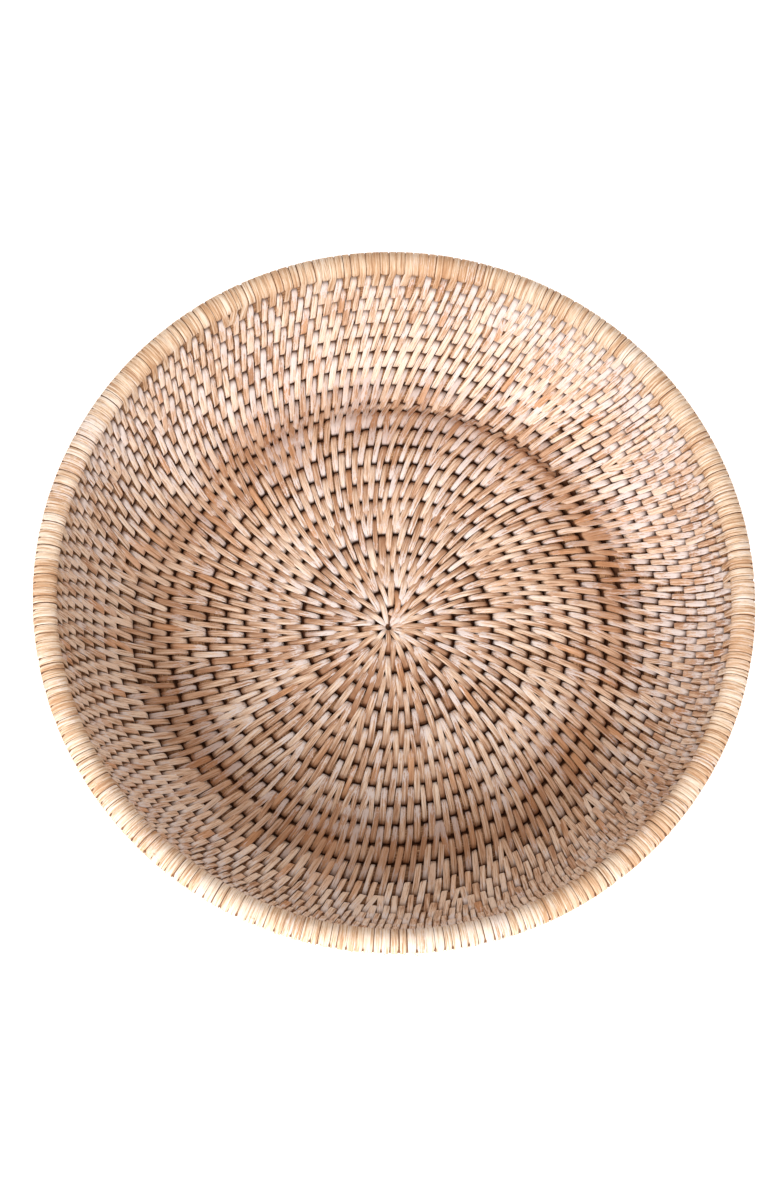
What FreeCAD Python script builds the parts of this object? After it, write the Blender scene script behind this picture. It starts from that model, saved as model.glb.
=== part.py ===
"""A round winnowing bowl of coiled rattan cane, as a parametric FreeCAD document.

The flat base is one long cane wound in a spiral.  Nine closed cane hoops climb from its edge in
a curved wall, and a thicker hoop makes the rim.  Flat rattan splints sew each coil to the coil
inside it: every stitch is a closed loop round two neighbouring canes.  On the rim, plain rings of
splint fill the room between the stitches, so that it is wrapped all round.

Origin: centre of the underside, on the surface the bowl rests on.  +Z is up, and the spiral grows
clockwise seen from above.  Azimuths are degrees clockwise from +Y seen from above.
"""
import FreeCAD, Part
import math
import os

Vector = FreeCAD.Vector

# Driving dimensions in mm and degrees.
DIMENSIONS = {
    "base_cane": 9.0,            # diameter of the cane in the base
    "hoop_cane": 9.8,            # diameter of the cane in the wall hoops
    "rim_cane": 10.8,            # diameter of the rim hoop
    "splint_thickness": 0.6,
    "splint_width": 3.3,
    "rim_wrap_width": 2.7,       # width of a plain ring on the rim
    "rim_rings": 2,              # plain rings between two stitches of the rim
    "eye_radius": 1.0,           # small hole left at the middle of the base
    "spiral_shift_x": 1.6,       # the spiral's centre against the centre of the hoops
    "spiral_shift_y": 0.5,
    "base_edge_radius": 128.2,   # seam between the base and the first hoop
    "first_turn": 1.0,           # turns are counted along the outer edge of the spiral
    "taper_turn": 12.6,          # here the end of the base cane starts to narrow
    "last_turn": 13.1,           # and here it runs out
    "tip_share": 0.2,            # what is left of the cane's diameter at its tip
    "hoop_count": 9,
    "wall_rays": 120,            # stitches in each row of the wall, and on the rim
    "coverage": 0.92,            # share of the room beside its neighbours that a stitch fills
}

# Slope above horizontal from each hoop to the next, ending with the step up to the rim.
WALL_SLOPES = [27, 46, 57, 64, 70, 74, 78, 81, 84]

FULL_TURN = 360.0
CENTRE_ROWS_END = 6       # rows below this have a quarter of the wall's stitches
MIDDLE_ROWS_END = 10      # rows below this have half of the wall's stitches
FIRST_ROW = 3             # the splints of the middle cover turns 1 and 2
HALF_TURN = 0.5           # the base spiral is made of arcs of half a turn


def make_sheet(document):
    """Write every driving dimension in its own cell, with its name as alias."""
    sheet = document.addObject("Spreadsheet::Sheet", "Sheet")
    cells = dict(DIMENSIONS)
    for number, slope in enumerate(WALL_SLOPES, start=1):
        cells["slope_%02d_deg" % number] = slope
    for line, (alias, value) in enumerate(cells.items(), start=1):
        sheet.set("A%d" % line, alias)
        sheet.set("B%d" % line, str(value))
        sheet.setAlias("B%d" % line, alias)
    document.recompute()
    return sheet


def compass(azimuth):
    """Unit vector in the ground plane at an azimuth clockwise from +Y."""
    angle = math.radians(azimuth)
    return Vector(math.sin(angle), math.cos(angle), 0)


class BaseSpiral:
    """Centre line of the base cane: half circles about two centres, then a tapering tail."""

    def __init__(self, sheet):
        self.cane_radius = sheet.base_cane / 2
        self.pitch = sheet.base_cane + 2 * sheet.splint_thickness
        self.height = self.pitch / 2
        self.eye_radius = sheet.eye_radius
        self.middle = Vector(sheet.spiral_shift_x, sheet.spiral_shift_y, self.height)
        self.first = sheet.first_turn
        self.taper = sheet.taper_turn
        self.last = sheet.last_turn
        self.tip_share = sheet.tip_share
        self.gap = 2 * sheet.splint_thickness
        self.arcs = self.half_turns()
        self.arcs.append(self.tail())

    def archimedes(self, turn):
        """Distance of the centre line from the middle, before it is made of arcs."""
        return self.eye_radius + self.pitch * (turn - HALF_TURN)

    def half_turns(self):
        """Arcs (start turn, end turn, centre, radius), half a turn each up to the taper."""
        arcs = []
        start = self.first
        side = -1
        shift = self.pitch * HALF_TURN / 2
        while start < self.taper:
            end = min(start + HALF_TURN, self.taper)
            centre = self.middle + Vector(0, side * shift, 0)
            arcs.append((start, end, centre, self.archimedes(start) + shift))
            start += HALF_TURN
            side = -side
        return arcs

    def tail(self):
        """One arc that leaves the last half turn smoothly and closes on the turn inside it."""
        _, _, last_centre, last_radius = self.arcs[-1]
        start_point = self.point(self.taper)
        inner = self.point(self.last - 1)
        outward = compass(self.last * FULL_TURN)
        clearance = self.cane_radius * (1 + self.tip_share) + self.gap
        end_point = inner + outward * clearance
        inward = (last_centre - start_point).normalize()
        chord = end_point - start_point
        radius = chord.Length ** 2 / (2 * chord.dot(inward))
        return (self.taper, self.last, start_point + inward * radius, radius)

    def arc_at(self, turn):
        for arc in self.arcs:
            if turn <= arc[1]:
                return arc
        return self.arcs[-1]

    def distance(self, turn, origin=None):
        """Distance from the origin to the centre line, along the ray at this turn's azimuth."""
        if origin is None:
            origin = self.middle
        _, _, centre, radius = self.arc_at(turn)
        ray = compass(turn * FULL_TURN)
        offset = centre - Vector(origin.x, origin.y, centre.z)
        along = offset.dot(ray)
        return along + math.sqrt(radius ** 2 - offset.Length ** 2 + along ** 2)

    def point(self, turn):
        return self.middle + compass(turn * FULL_TURN) * self.distance(turn)

    def radius(self, turn):
        """Radius of the cane, which narrows over its tail."""
        share = max(0.0, (turn - self.taper) / (self.last - self.taper))
        return self.cane_radius * (1 - share * (1 - self.tip_share))


def arc_edge(spiral, arc):
    """Edge of one arc of the centre line."""
    start, end, _, _ = arc
    steps = [spiral.point(start + (end - start) * share) for share in (0.0, 0.5, 1.0)]
    return Part.Arc(*steps).toShape()


def cane_section(point, azimuth, radius):
    """Round section of a cane that runs square to the ray at this azimuth."""
    along = compass(azimuth + FULL_TURN / 4)
    return Part.Wire(Part.makeCircle(radius, point, along))


def sweep(edges, sections):
    """Solid pipe along the edges through the given sections."""
    pipe = Part.BRepOffsetAPI.MakePipeShell(Part.Wire(edges))
    for section in sections:
        pipe.add(section)
    pipe.build()
    pipe.makeSolid()
    return pipe.shape()


def base_core(spiral):
    """The base cane: its full length, fused with its tapering tail."""
    full_edges = [arc_edge(spiral, arc) for arc in spiral.arcs[:-1]]
    start = spiral.first * FULL_TURN
    body = sweep(full_edges, [cane_section(spiral.point(spiral.first), start, spiral.cane_radius)])
    tail_edge = arc_edge(spiral, spiral.arcs[-1])
    wide = Part.Wire(
        Part.makeCircle(spiral.cane_radius, tail_edge.valueAt(tail_edge.FirstParameter),
                        tail_edge.tangentAt(tail_edge.FirstParameter)))
    narrow = Part.Wire(
        Part.makeCircle(spiral.cane_radius * spiral.tip_share,
                        tail_edge.valueAt(tail_edge.LastParameter),
                        tail_edge.tangentAt(tail_edge.LastParameter)))
    tail = sweep([tail_edge], [wide, narrow])
    return body.fuse(tail)


def belt_wire(radius_in, radius_out, distance):
    """Closed line round two circles in the XY plane, like a belt round two pulleys."""
    lean = math.acos((radius_in - radius_out) / distance)
    normal = Vector(math.cos(lean), math.sin(lean), 0)
    mirrored = Vector(normal.x, -normal.y, 0)
    far = Vector(distance, 0, 0)
    top_in = normal * radius_in
    low_in = mirrored * radius_in
    top_out = far + normal * radius_out
    low_out = far + mirrored * radius_out
    return Part.Wire([
        Part.Arc(top_in, Vector(-radius_in, 0, 0), low_in).toShape(),
        Part.LineSegment(low_in, low_out).toShape(),
        Part.Arc(low_out, Vector(distance + radius_out, 0, 0), top_out).toShape(),
        Part.LineSegment(top_out, top_in).toShape(),
    ])


def stitch(radius_in, radius_out, distance, thickness, width):
    """A closed splint loop round two canes, standing on the ray: X outward, Z up."""
    outside = belt_wire(radius_in + thickness, radius_out + thickness, distance)
    inside = belt_wire(radius_in, radius_out, distance)
    face = Part.makeFace([outside, inside], "Part::FaceMakerBullseye")
    loop = face.extrude(Vector(0, 0, width))
    loop.translate(Vector(0, 0, -width / 2))
    loop.rotate(Vector(), Vector(1, 0, 0), 90)
    return loop


def on_ray(loop, azimuth, reach, height, slope=0.0):
    """Stand a loop on the ray at an azimuth, with its inner cane at this reach and height."""
    tilt = FreeCAD.Placement(Vector(reach, 0, height), FreeCAD.Rotation(Vector(0, 1, 0), -slope))
    turn = FreeCAD.Placement(Vector(), FreeCAD.Rotation(Vector(0, 0, 1), 90 - azimuth))
    placed = loop.copy()
    placed.Placement = turn.multiply(tilt).multiply(loop.Placement)
    return placed


def rays_in_row(row, wall_rays):
    """Number of stitches in a full turn of this row: it doubles twice on the way out."""
    if row < CENTRE_ROWS_END:
        return wall_rays // 4
    if row < MIDDLE_ROWS_END:
        return wall_rays // 2
    return wall_rays


def row_phase(row):
    """Share of a step by which a row is turned, so that it falls between its neighbours."""
    rows_since_doubling = row
    for doubling in (MIDDLE_ROWS_END, CENTRE_ROWS_END, FIRST_ROW):
        if row >= doubling:
            rows_since_doubling = row - doubling
            break
    return 0.5 if rows_since_doubling % 2 == 0 else 0.0


def centre_splints(spiral, sheet):
    """Long splints that run from the eye out over the first two turns, narrow at the eye."""
    count = rays_in_row(FIRST_ROW, int(sheet.wall_rays))
    half_angle = math.radians(FULL_TURN / count / 4) * sheet.coverage
    reach = FIRST_ROW * spiral.pitch
    inner = spiral.cane_radius + sheet.splint_thickness + spiral.eye_radius
    low = Vector(0, 0, -spiral.pitch)
    corners = [low,
               low + Vector(reach, -reach * math.tan(half_angle), 0),
               low + Vector(reach, reach * math.tan(half_angle), 0),
               low]
    wedge = Part.Face(Part.makePolygon(corners)).extrude(Vector(0, 0, reach))
    splints = []
    for number in range(count):
        azimuth = number * FULL_TURN / count
        outer = spiral.distance(2 + azimuth / FULL_TURN, Vector())
        loop = stitch(spiral.cane_radius, spiral.cane_radius, outer - inner,
                      sheet.splint_thickness, 2 * reach * math.tan(half_angle))
        loop.translate(Vector(inner, 0, spiral.height))
        splint = loop.common(wedge).Solids[0]
        splints.append(on_ray(splint, azimuth, 0, 0))
    return Part.makeCompound(splints)


def base_row(spiral, sheet, row):
    """Stitches that sew turn number `row` of the base to the turn inside it."""
    count = rays_in_row(row, int(sheet.wall_rays))
    next_count = rays_in_row(row + 1, int(sheet.wall_rays))
    inner_edge = spiral.eye_radius + spiral.pitch * (row - 2)
    width = min(sheet.splint_width, sheet.coverage * math.pi * inner_edge / next_count)
    stitches = []
    for number in range(count):
        turn = row + (number + row_phase(row)) / count
        if turn > spiral.last:
            break
        inner = spiral.distance(turn - 1, Vector())
        outer = spiral.distance(turn, Vector())
        loop = stitch(spiral.radius(turn - 1), spiral.radius(turn), outer - inner,
                      sheet.splint_thickness, width)
        stitches.append(on_ray(loop, turn * FULL_TURN, inner, spiral.height))
    return Part.makeCompound(stitches)


def first_wall_row(spiral, sheet, hoop):
    """Stitches that sew the first hoop to the outermost turn of the base."""
    count = int(sheet.wall_rays)
    hoop_radius = hoop.Radius1.Value
    rise = hoop.Placement.Base.z - spiral.height
    row = int(spiral.last)
    stitches = []
    for number in range(count):
        turn = row + (number + row_phase(row + 1)) / count
        if turn > spiral.last:
            turn -= 1
        inner = spiral.distance(turn, Vector())
        run = hoop_radius - inner
        loop = stitch(spiral.radius(turn), hoop.Radius2.Value, math.hypot(run, rise),
                      sheet.splint_thickness, sheet.splint_width * sheet.coverage)
        slope = math.degrees(math.atan2(rise, run))
        stitches.append(on_ray(loop, turn * FULL_TURN, inner, spiral.height, slope))
    return Part.makeCompound(stitches)


def wall_row(spiral, sheet, hoops, number):
    """Stitches that sew hoop `number` to the hoop below it."""
    lower = hoops[number - 2]
    upper = hoops[number - 1]
    run = upper.Radius1.Value - lower.Radius1.Value
    rise = upper.Placement.Base.z - lower.Placement.Base.z
    count = int(sheet.wall_rays)
    loop = stitch(lower.Radius2.Value, upper.Radius2.Value, math.hypot(run, rise),
                  sheet.splint_thickness, sheet.splint_width * sheet.coverage)
    slope = math.degrees(math.atan2(rise, run))
    phase = row_phase(int(spiral.last) + number)
    stitches = []
    for place in range(count):
        azimuth = (place + phase) * FULL_TURN / count
        stitches.append(on_ray(loop, azimuth, lower.Radius1.Value, lower.Placement.Base.z, slope))
    return Part.makeCompound(stitches)


def rim_wrap(spiral, sheet, rim, row):
    """Plain rings of splint on the rim, evenly spaced between its stitches, which are row `row`."""
    inner = rim.Radius2.Value
    across = Vector(0, 1, 0)
    start = Vector(0, -sheet.rim_wrap_width / 2, 0)
    outside = Part.makeCylinder(inner + sheet.splint_thickness, sheet.rim_wrap_width, start, across)
    ring = outside.cut(Part.makeCylinder(inner, sheet.rim_wrap_width, start, across))
    step = FULL_TURN / int(sheet.wall_rays)
    turns_between = int(sheet.rim_rings) + 1
    rings = []
    for place in range(int(sheet.wall_rays)):
        stitch_azimuth = (place + row_phase(int(spiral.last) + row)) * step
        for number in range(1, turns_between):
            azimuth = stitch_azimuth + step * number / turns_between
            rings.append(on_ray(ring, azimuth, rim.Radius1.Value, rim.Placement.Base.z))
    return Part.makeCompound(rings)


def add_feature(document, label, shape):
    """A sub-part whose shape is worked out above."""
    feature = document.addObject("Part::Feature", label)
    feature.Label = label
    feature.Shape = shape
    feature.Placement = FreeCAD.Placement()
    return feature


def add_hoops(document, sheet):
    """The nine wall hoops and the rim, each placed from the hoop below it by expressions."""
    pitch = "(Sheet.hoop_cane + 2 * Sheet.splint_thickness) * 1 mm"
    rim_step = "((Sheet.hoop_cane + Sheet.rim_cane) / 2 + 2 * Sheet.splint_thickness) * 1 mm"
    rim_number = int(sheet.hoop_count) + 1
    hoops = []
    for number in range(1, rim_number + 1):
        is_rim = number == rim_number
        label = "rim_hoop" if is_rim else "wall_hoop_%d" % number
        hoop = document.addObject("Part::Torus", label)
        hoop.Label = label
        hoop.setExpression("Radius2", "Sheet.rim_cane / 2" if is_rim else "Sheet.hoop_cane / 2")
        if number == 1:
            hoop.setExpression("Radius1", "Sheet.base_edge_radius * 1 mm + %s / 2" % pitch)
            hoop.setExpression("Placement.Base.z", "%s / 2" % pitch)
        else:
            below = hoops[-1].Name
            step = rim_step if is_rim else pitch
            slope = "Sheet.slope_%02d_deg" % (number - 1)
            hoop.setExpression("Radius1", "%s.Radius1 + %s * cos(%s)" % (below, step, slope))
            hoop.setExpression("Placement.Base.z",
                               "%s.Placement.Base.z + %s * sin(%s)" % (below, step, slope))
        hoops.append(hoop)
        document.recompute()
    return hoops


def check(parts):
    """Stop at any sub-part that failed to compute or has no valid shape."""
    for item in parts:
        if "Invalid" in item.State or "Error" in item.State:
            raise RuntimeError("%s did not compute" % item.Label)
        if item.Shape.isNull() or not item.Shape.isValid():
            raise RuntimeError("%s has no valid shape" % item.Label)


def build():
    document = FreeCAD.newDocument("winnowing_basket")
    sheet = make_sheet(document)
    spiral = BaseSpiral(sheet)
    hoops = add_hoops(document, sheet)
    parts = list(hoops)
    parts.append(add_feature(document, "base_core", base_core(spiral)))
    parts.append(add_feature(document, "centre_splints", centre_splints(spiral, sheet)))
    for row in range(FIRST_ROW, int(spiral.last) + 1):
        label = "base_stitches_%02d" % row
        parts.append(add_feature(document, label, base_row(spiral, sheet, row)))
    first_row = first_wall_row(spiral, sheet, hoops[0])
    parts.append(add_feature(document, "wall_stitches_1", first_row))
    for number in range(2, len(hoops) + 1):
        label = "rim_stitches" if number == len(hoops) else "wall_stitches_%d" % number
        parts.append(add_feature(document, label, wall_row(spiral, sheet, hoops, number)))
    wrapping = rim_wrap(spiral, sheet, hoops[-1], len(hoops))
    parts.append(add_feature(document, "rim_wrap", wrapping))
    document.recompute()
    check(document.Objects[1:])
    os.makedirs("parts", exist_ok=True)
    for item in parts:
        item.Shape.exportStep("parts/%s.step" % item.Label)
        print("%-18s solids %4d  volume %9.0f mm3" % (item.Label, len(item.Shape.Solids),
                                                      item.Shape.Volume))


build()
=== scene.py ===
import math

import bpy
import numpy as np
from mathutils import Matrix, Vector, noise


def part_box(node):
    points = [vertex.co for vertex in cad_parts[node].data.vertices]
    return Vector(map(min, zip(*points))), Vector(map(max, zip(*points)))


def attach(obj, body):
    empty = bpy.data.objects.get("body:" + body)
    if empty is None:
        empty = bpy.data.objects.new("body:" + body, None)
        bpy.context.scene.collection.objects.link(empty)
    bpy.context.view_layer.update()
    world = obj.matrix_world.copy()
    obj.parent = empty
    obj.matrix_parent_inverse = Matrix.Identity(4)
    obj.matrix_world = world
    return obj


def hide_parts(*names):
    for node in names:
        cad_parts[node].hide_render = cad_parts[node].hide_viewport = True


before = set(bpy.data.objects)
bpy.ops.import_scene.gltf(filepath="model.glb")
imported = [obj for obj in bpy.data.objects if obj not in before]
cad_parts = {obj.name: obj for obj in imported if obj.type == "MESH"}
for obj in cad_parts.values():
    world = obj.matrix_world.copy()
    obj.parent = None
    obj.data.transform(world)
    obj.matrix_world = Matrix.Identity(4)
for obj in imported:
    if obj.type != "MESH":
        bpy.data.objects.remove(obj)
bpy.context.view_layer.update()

# All lengths below are in millimetres. Meshes are written in metres.
MM = 0.001
FULL_TURN = 2 * math.pi

# Base coil: an Archimedean spiral, counted in turns. Turn 0 and every whole turn lie on +Y, and turns grow
# clockwise seen from above. Places in plan are (x, y).
COIL_PITCH = 10.2
EDGE_AT_TURN_0 = 1.0
SPIRAL_CENTRE = np.array([1.6, 0.5])
RIM_CENTRE = np.array([0.0, 0.0])
BASE_EDGE_RADIUS = 128.2
CANE_START = 0.2
COIL_START = 1.0
TAPER_START = 12.1
COIL_END = 13.1
SEAM_GAP = 0.6
THINNEST_CANE = 0.5
EYE_SHIFT = np.array([-2.1, -1.3])
EYE_REACH = 14.0
HOLLOW_TURNS = 0.55

HOOP_COUNT = 9

# Splints
BASE_SPLINT_WIDTH = 3.25
WALL_SPLINT_WIDTH = 3.3
SPLINT_THICKNESS = 0.6
FIRST_LAP_STITCHES = 10
LAST_CENTRE_TURN = 3.0

# Colour round the basket: the turns where it is palest, where the wall's tone is darkest as painted shade,
# and where the painted shade in the gaps is weakest; the brown stain by radius; and how much weaker the
# painted shade in the gaps is by height on the wall.
ORANGE_SHARE = 0.035
PALEST_AT = 0.03
DARKEST_AT = 0.25
LEAST_SHADE_AT = 0.14
STAIN_RADII = [100, 116, 132, 142]
STAINS = [0.0, 1.0, 1.0, 0.0]
WALL_PALE_HEIGHTS = [10, 45, 90]
WALL_PALE_SHARES = [0.0, 0.30, 0.42]

# Every random draw comes from here, so the order of the draws matters.
rng = np.random.RandomState(20)


def towards(turn, side):
    """1 on that side of the basket, -1 on the other, as a cosine of the angle between."""
    return np.cos(FULL_TURN * (turn - side))


# ---------------------------------------------------------------- the coil and the hoops

class Hoop:
    """A closed cane hoop, measured from its CAD node."""

    def __init__(self, node):
        low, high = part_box(node)
        self.cane = (high.z - low.z) / 2 / MM
        self.radius = (high.x - low.x) / 2 / MM - self.cane
        self.height = (high.z + low.z) / 2 / MM


HOOPS = [Hoop(f"wall_hoop_{k}") for k in range(1, HOOP_COUNT + 1)]
RIM = Hoop("rim_hoop")
core_low, core_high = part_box("base_core")
BASE_CANE = (core_high.z - core_low.z) / 2 / MM
BASE_HEIGHT = (core_high.z + core_low.z) / 2 / MM


def direction(turn):
    """Unit vectors in plan at a turn, clockwise from +Y."""
    angle = FULL_TURN * np.asarray(turn, float)
    return np.stack([np.sin(angle), np.cos(angle)], axis=-1)


def coil_edges(turn):
    """Inner and outer edge of the base coil, from the spiral's centre."""
    turn = np.asarray(turn, float)
    outer = EDGE_AT_TURN_0 + COIL_PITCH * turn
    ring_edge = BASE_EDGE_RADIUS - direction(turn) @ SPIRAL_CENTRE
    outer = np.where(turn > TAPER_START, np.minimum(outer, ring_edge), outer)
    inner = np.maximum(EDGE_AT_TURN_0 + COIL_PITCH * (turn - 1), 0)
    return inner, outer


def coil_circle(turn):
    """Centre-line radius, height and cane radius of the base coil at a turn."""
    inner, outer = coil_edges(np.clip(turn, CANE_START, COIL_END))
    cane = np.maximum((outer - inner) / 2 - SEAM_GAP, THINNEST_CANE)
    return (outer + inner) / 2, np.full_like(inner, BASE_HEIGHT), cane


def hoop_circle(hoop, turn):
    """The same three measures of a hoop, for each turn asked."""
    ones = np.ones_like(np.asarray(turn, float))
    return ones * hoop.radius, ones * hoop.height, ones * hoop.cane


def last_coil_turn(turn):
    """The turn of the outermost coil at that azimuth."""
    return COIL_END - np.mod(COIL_END - np.asarray(turn, float), 1.0)


# ---------------------------------------------------------------- laying out the stitches

# Where the row below has spread to more than SPLIT_LENGTH, two stitches leave one hole as a V. The V's feet
# and heads stand off its middle by these shares of the gap.
SPLIT_LENGTH = 9.5
SPLIT_FOOT = 0.16
SPLIT_HEAD = 0.25
PLACE_SPREAD = 0.05
EVEN_OUT = 0.4
EVEN_PASSES = 3

# Every stitch leans: its outer end is further clockwise. The lean in degrees grows with the radius on the
# base and falls with the height on the wall. It is largest near LEAN_MOST_AT, a turn, and the swing is what
# it gains there and loses on the other side.
BASE_LEAN_RADII = [20, 40, 60, 90, 120]
BASE_LEANS = [0, 3, 7, 11, 14]
BASE_SWING_RADII = [20, 100]
BASE_SWINGS = [0, 7]
WALL_LEAN_HEIGHTS = [5, 20, 40, 65, 90]
WALL_LEANS = [17, 17, 13, 8, 5]
WALL_SWING = 3.0
LEAN_MOST_AT = 0.08


def lean_turns(degrees, radius):
    """How far the outer end is ahead of the inner end, in turns, over one coil's width."""
    return COIL_PITCH * math.tan(math.radians(degrees)) / (FULL_TURN * radius)


def place_between(places, radius_at, degrees_at):
    """Puts the next row's stitches between the neighbours of the row below. Gives their inner ends and
    their outer ends, in turns."""
    inner, outer = [], []
    for left, right in zip(places[:-1], places[1:]):
        middle = (left + right) / 2
        gap = right - left
        radius = radius_at(middle)
        length = gap * FULL_TURN * radius
        ahead = lean_turns(degrees_at(radius, middle), radius)
        if length > SPLIT_LENGTH * (1 + rng.normal(0, PLACE_SPREAD)):
            inner += [middle - SPLIT_FOOT * gap, middle + SPLIT_FOOT * gap]
            outer += [middle - SPLIT_HEAD * gap + ahead, middle + SPLIT_HEAD * gap + ahead]
        else:
            lean = rng.normal(0, PLACE_SPREAD) * gap
            inner.append(middle - lean / 2)
            outer.append(middle + lean / 2 + ahead)
    return inner, outer


def even_out(places, before, after):
    """Moves places a little towards the middle of their neighbours."""
    places = np.array([before, *places, after])
    for _ in range(EVEN_PASSES):
        places[1:-1] += EVEN_OUT * ((places[:-2] + places[2:]) / 2 - places[1:-1])
    return list(places[1:-1])


def swing(turn):
    """1 where the stitches lean most, -1 on the other side."""
    return math.cos(FULL_TURN * (turn - LEAN_MOST_AT))


def base_lean(radius, turn):
    """The lean of a base stitch, in degrees."""
    lean = np.interp(radius, BASE_LEAN_RADII, BASE_LEANS)
    return lean + np.interp(radius, BASE_SWING_RADII, BASE_SWINGS) * swing(turn)


def base_layout():
    """Stitches of the spiral base, in one long sequence of (inner end, outer end) turns."""
    inner = list(COIL_START + np.arange(FIRST_LAP_STITCHES) / FIRST_LAP_STITCHES)
    outer = list(inner)
    done = 0
    while outer[-1] < COIL_END:
        lap = outer[done:]
        done = len(outer) - 1
        new_inner, new_outer = place_between(lap, lambda turn: float(coil_circle(turn + 1)[0]), base_lean)
        new_inner = [place + 1 for place in new_inner]
        new_outer = [place + 1 for place in new_outer]
        beyond = 2 * new_outer[-1] - new_outer[-2]
        inner += new_inner
        outer += even_out(new_outer, outer[-1], beyond)
    return [(a, b) for a, b in zip(inner, outer) if b <= COIL_END]


def ring_layout(places, hoop):
    """A closed row's stitches on the row below, whose outer ends are places, in order round the ring."""
    degrees = np.interp(hoop.height, WALL_LEAN_HEIGHTS, WALL_LEANS)
    inner, outer = place_between(places + [places[0] + 1], lambda turn: hoop.radius,
                                 lambda radius, turn: degrees + WALL_SWING * swing(turn))
    outer = even_out(outer, outer[-1] - 1, outer[0] + 1)
    return list(zip(inner, outer))


def edge_from_rim_centre(turn):
    """The base coil's outer edge at a turn, as a radius about the rim's centre."""
    return coil_edges(turn)[1] + direction(turn) @ SPIRAL_CENTRE


def about_rim_centre(turn):
    """The azimuth about the rim's centre, in turns, of a point of the outermost coil."""
    radius = float(coil_edges(turn)[1])
    point = SPIRAL_CENTRE + radius * direction(turn)
    return (math.atan2(point[0], point[1]) / FULL_TURN) % 1.0


# ---------------------------------------------------------------- ribbons

# The splint's cross-section: across in half-widths, up in thicknesses. It is crowned, with soft edges.
SECTION_ACROSS = np.array([-0.95, -1.00, -0.88, -0.40, 0.40, 0.88, 1.00, 0.95])
SECTION_UP = np.array([0.00, 0.50, 0.90, 1.00, 1.00, 0.90, 0.50, 0.00])


def smooth_step(x):
    """0 below 0, 1 above 1, and a smooth rise between."""
    x = np.clip(x, 0, 1)
    return x * x * (3 - 2 * x)


def unit(v):
    return v / np.maximum(np.linalg.norm(v, axis=-1, keepdims=True), 1e-9)


def distance_along(path):
    """The distance from the start of a path to each of its points."""
    return np.insert(np.cumsum(np.linalg.norm(np.diff(path, axis=0), axis=1)), 0, 0.0)


def build_mesh(name, points, faces, attributes, material):
    """A piece from points in millimetres. attributes holds a number or a vector for each point."""
    mesh = bpy.data.meshes.new(name)
    mesh.from_pydata((points * MM).tolist(), [], faces)
    for key, values in attributes.items():
        kind = "FLOAT_VECTOR" if values.ndim == 2 else "FLOAT"
        layer = mesh.attributes.new(key, kind, "POINT")
        field = "vector" if values.ndim == 2 else "value"
        layer.data.foreach_set(field, values.astype(np.float32).ravel())
    mesh.shade_smooth()
    mesh.materials.append(material)
    mesh.update()
    piece = bpy.data.objects.new(name, mesh)
    bpy.context.scene.collection.objects.link(piece)
    return piece


def strip_faces(stations, around, start=0, closed=False):
    """Faces of a tube with stations rings of around points. It has end caps unless it is closed."""
    faces = []
    last = stations if closed else stations - 1
    for i in range(last):
        a = start + i * around
        b = start + ((i + 1) % stations) * around
        for j in range(around):
            k = (j + 1) % around
            faces.append((a + j, a + k, b + k, b + j))
    if not closed:
        faces.append(tuple(start + j for j in reversed(range(around))))
        faces.append(tuple(start + (stations - 1) * around + j for j in range(around)))
    return faces


def ribbon_points(path, normal, left, right, roll, section_up):
    """A ribbon's vertices, station by station, and how far each is across it. The path runs along the
    middle of its underside."""
    tangent = unit(np.gradient(path, axis=0))
    side = unit(np.cross(tangent, normal))
    up = np.cross(side, tangent)
    side, up = (side * np.cos(roll)[:, None] + up * np.sin(roll)[:, None],
                up * np.cos(roll)[:, None] - side * np.sin(roll)[:, None])
    half = np.where(SECTION_ACROSS[None, :] < 0, left[:, None], right[:, None])
    across = SECTION_ACROSS[None, :] * half
    lift = section_up[None, :] * SPLINT_THICKNESS
    points = path[:, None, :] + across[..., None] * side[:, None, :] + lift[..., None] * up[:, None, :]
    return points.reshape(-1, 3), across.ravel()


# ---------------------------------------------------------------- one stitch's stations

# Angles round a cane, in degrees from the stitch's flat top, and places between the canes, as shares.
INNER_ARC = [180, 150, 120, 95, 75, 66, 58, 50, 38, 26, 13, 0]
OUTER_ARC = [0, 13, 26, 38, 50, 58, 66, 75, 95, 120, 150, 180]
RIM_ARC = [0, 14, 28, 42, 58, 75, 95, 110, 122, 132, 142, 152, 164, 180]
TOP_SHARES = [0.2, 0.4, 0.6, 0.8]
UNDER_SHARES = [0.33, 0.67]
RING_SEAM_ARC = [205, 235, 270, 305, 330, 345]
# Over this angle the splint turns into its hole. At its ends a stitch swings ahead by this share of its lean.
HOLE_ANGLE = 80
SWING_AHEAD = 0.5


def on_circle(angle):
    """The cosine and sine of an angle in degrees."""
    return math.cos(math.radians(angle)), math.sin(math.radians(angle))


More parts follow.
